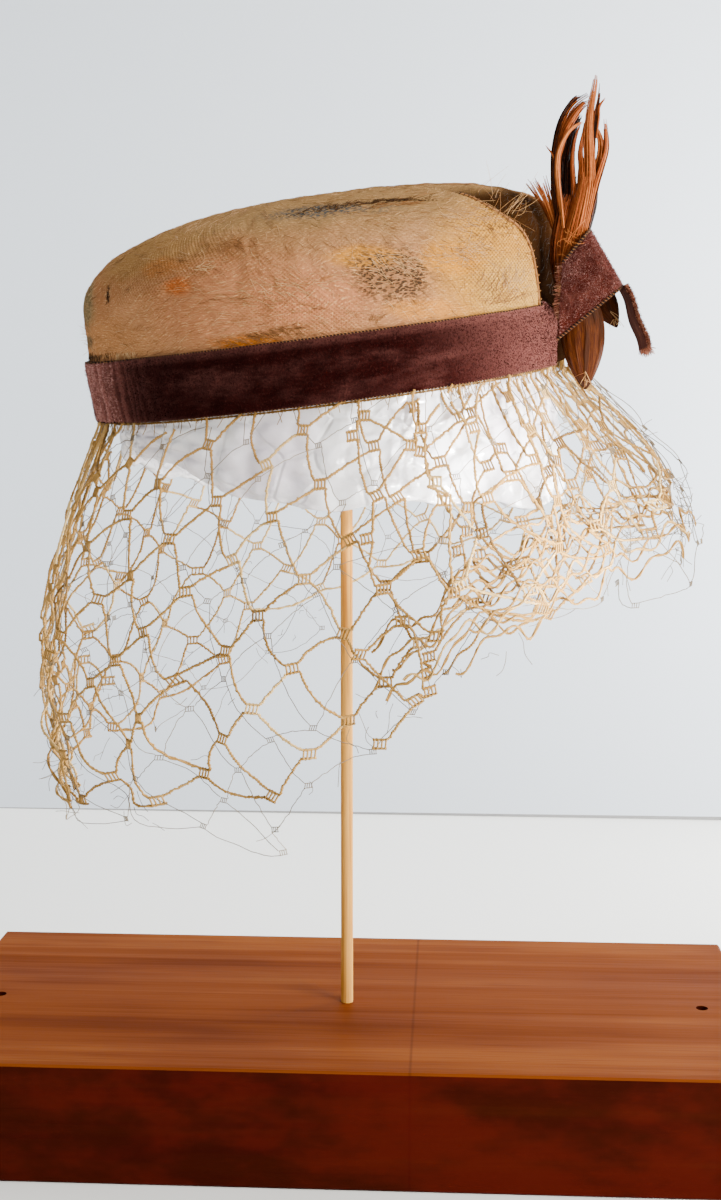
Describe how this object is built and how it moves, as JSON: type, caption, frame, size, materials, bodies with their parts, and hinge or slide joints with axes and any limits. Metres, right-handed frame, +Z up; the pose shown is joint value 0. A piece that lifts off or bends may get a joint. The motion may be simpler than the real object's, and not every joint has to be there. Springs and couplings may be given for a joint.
{
  "type": "pillbox hat on a stand",
  "caption": "Feather-covered pillbox hat with a velvet band, plume and coarse net veil, held by a padded rod on a wooden block.",
  "frame": {"origin": "where the rod's axis meets the underside of the block", "axes": "+Z up along the rod, -Y towards the hat's front, +X towards the hat's plumed side"},
  "size_m": [0.32, 0.1971, 0.4018],
  "materials": {
    "crown_feather": "tan body feathers under fine tulle",
    "velvet": "worn maroon-brown cotton velvet",
    "plume_feather": "rust-brown feather",
    "bud_feather": "glossy brown feather",
    "veil_thread": "straw-coloured twisted thread",
    "padding_film": "clear bubble film",
    "rod_wood": "bare pale dowel",
    "block_wood": "stained reddish-brown, satin"
  },
  "bodies": {
    "root": {"crown": "crown_feather", "ribbon_band": "velvet", "ribbon_loop": "velvet", "ribbon_tail": "velvet", "plume": "plume_feather", "feather_bud_front": "bud_feather", "feather_bud_back": "bud_feather", "veil_net": "veil_thread", "stand_padding": "padding_film", "stand_rod": "rod_wood", "stand_block": "block_wood"}
  },
  "joints": []
}
